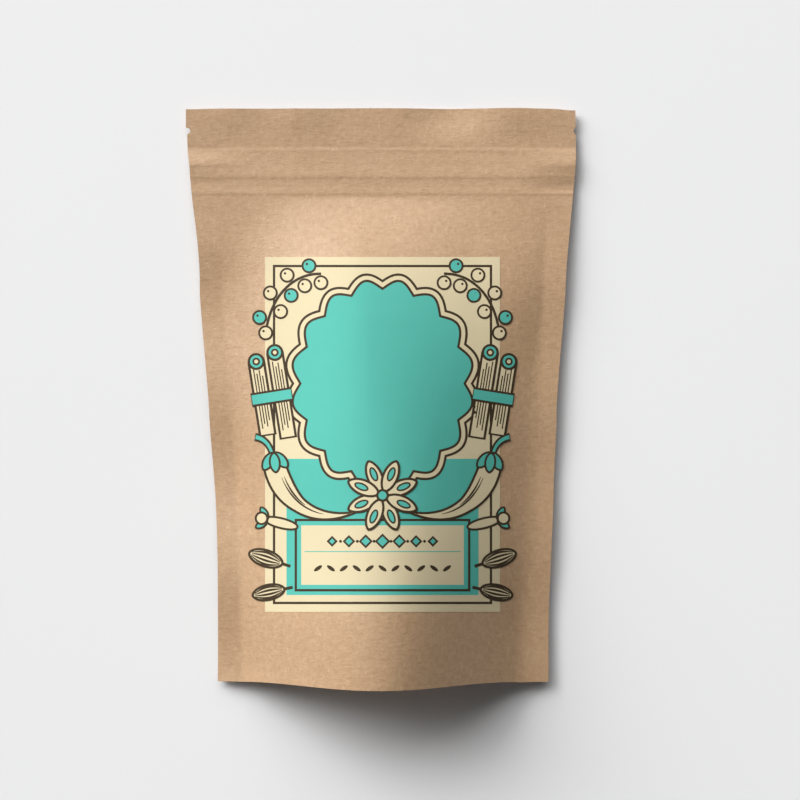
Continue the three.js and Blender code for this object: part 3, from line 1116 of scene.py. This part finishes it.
TABLE_HALF = 12.0
SENSOR_MM, LENS_MM = 36.0, 94.5
CLIP_START = 0.01


def add_table(colour):
    surface = bmesh.new()
    bmesh.ops.create_grid(surface, x_segments=4, y_segments=4, size=TABLE_HALF)
    table = add_shape("table", surface, table_top(colour))


def area_light(name, power, size, place):
    """A square light that faces the pouch."""
    data = bpy.data.lights.new(name, "AREA")
    data.energy = power
    data.size = size
    light = add_object(name, data)
    light.location = place
    light.rotation_euler = (-Vector(place)).to_track_quat("-Z", "Y").to_euler()


def add_surroundings(strength):
    """An even white glow from all round."""
    world = bpy.data.worlds.new("surroundings")
    world.use_nodes = True
    background = world.node_tree.nodes["Background"]
    background.inputs["Color"].default_value = (1, 1, 1, 1)
    background.inputs["Strength"].default_value = strength
    bpy.context.scene.world = world


def add_camera(height):
    """Looks straight down."""
    data = bpy.data.cameras.new("camera_over")
    data.sensor_width = SENSOR_MM
    data.lens = LENS_MM
    data.clip_start = CLIP_START
    camera = add_object("camera_over", data)
    camera.location = (CAMERA_X, CAMERA_Y, height)
    bpy.context.scene.camera = camera


# ---- Operators ----


class SPICE_OT_studio(Operator):
    """Add the pale surface, the soft lights and the camera over the pouch"""

    bl_idname = "spice.studio"
    bl_label = "Surface, lights and camera"
    bl_options = {"REGISTER", "UNDO"}

    def execute(self, context):
        studio = context.scene.pouch_studio
        context.scene.view_settings.view_transform = "Standard"
        add_table(context.scene.pouch_colours.table)
        area_light("window", studio.window_power, size=8.2, place=(-6.04, 6.04, 6.92))
        area_light("low_window", studio.low_power, size=7.2, place=(-7.3, 6.74, 4.72))
        area_light("top", studio.top_power, size=8.2, place=(0.0, 8.8, 6.6))
        add_surroundings(studio.fill)
        add_camera(studio.camera_height)
        return {"FINISHED"}


class SPICE_OT_walls(Operator):
    """Add the front and back walls of the pouch and the film of its base"""

    bl_idname = "spice.walls"
    bl_label = "Paper walls and base"
    bl_options = {"REGISTER", "UNDO"}

    def execute(self, context):
        pouch = PouchShape(context.scene.pouch_sizes)
        kraft = kraft_paper(context.scene.pouch_colours.kraft)
        for make in (front_wall, back_wall, base_film):
            add_piece(make.__name__, make(pouch), kraft, "pouch_body")
        return {"FINISHED"}


class SPICE_OT_label(Operator):
    """Add the cream paper label on the front"""

    bl_idname = "spice.label"
    bl_label = "Label paper"
    bl_options = {"REGISTER", "UNDO"}

    def execute(self, context):
        scene = context.scene
        colour = scene.pouch_colours.cream
        cream = printed_paper("label_cream", colour, roughness=0.68, mottle=0.02)
        paper = label_paper(label_map_of(scene), scene.label_sizes)
        add_piece("label_paper", paper, cream, "label_sheet")
        return {"FINISHED"}


class SPICE_OT_print(Operator):
    """Add the printed fields, outlines and spice motifs of the label"""

    bl_idname = "spice.label_print"
    bl_label = "Label print"
    bl_options = {"REGISTER", "UNDO"}

    def execute(self, context):
        scene = context.scene
        colours = scene.pouch_colours
        bed = draw_print(scene.label_sizes)
        cut_to_cells(bed)
        for name, colour, paint, roughness, mottle, slot, node in (
            ("teal_print", TEAL, colours.teal, 0.65, 0.03, "label_teal", "label_field"),
            ("cream_print", CREAM, colours.cream, 0.68, 0.02, "label_cream", "label_panel"),
            ("dark_print", INK, colours.ink, 0.62, 0.1, "label_teal", "label_panel"),
        ):
            inked = keep_colour(bed, colour, label_map_of(scene), scene.label_sizes)
            add_piece(name, inked, printed_paper(name, paint, roughness, mottle), node)
        bed.free()
        return {"FINISHED"}


class SPICE_PT_sidebar(Panel):
    """Lists the sizes, the colours and the operators"""

    bl_label = "Spice pouch"
    bl_idname = "SPICE_PT_sidebar"
    bl_space_type = "VIEW_3D"
    bl_region_type = "UI"
    bl_category = "Spice pouch"

    def draw(self, context):
        for group_name, group in GROUPS:
            box = self.layout.box()
            for name in group.__annotations__:
                box.prop(getattr(context.scene, group_name), name)
        for operator in OPERATORS:
            self.layout.operator(operator.bl_idname)


OPERATORS = (SPICE_OT_studio, SPICE_OT_walls, SPICE_OT_label, SPICE_OT_print)
GROUPS = (
    ("pouch_sizes", PouchSizes),
    ("label_sizes", LabelSizes),
    ("pouch_colours", PouchColours),
    ("pouch_studio", StudioSettings),
)


def register():
    for name, group in GROUPS:
        bpy.utils.register_class(group)
        setattr(bpy.types.Scene, name, PointerProperty(type=group))
    for each in (*OPERATORS, SPICE_PT_sidebar):
        bpy.utils.register_class(each)


def unregister():
    for each in (SPICE_PT_sidebar, *reversed(OPERATORS)):
        bpy.utils.unregister_class(each)
    for name, group in reversed(GROUPS):
        delattr(bpy.types.Scene, name)
        bpy.utils.unregister_class(group)


def main():
    register()
    bpy.ops.spice.studio()
    bpy.ops.spice.walls()
    bpy.ops.spice.label()
    bpy.ops.spice.label_print()


if __name__ == "__main__":
    main()
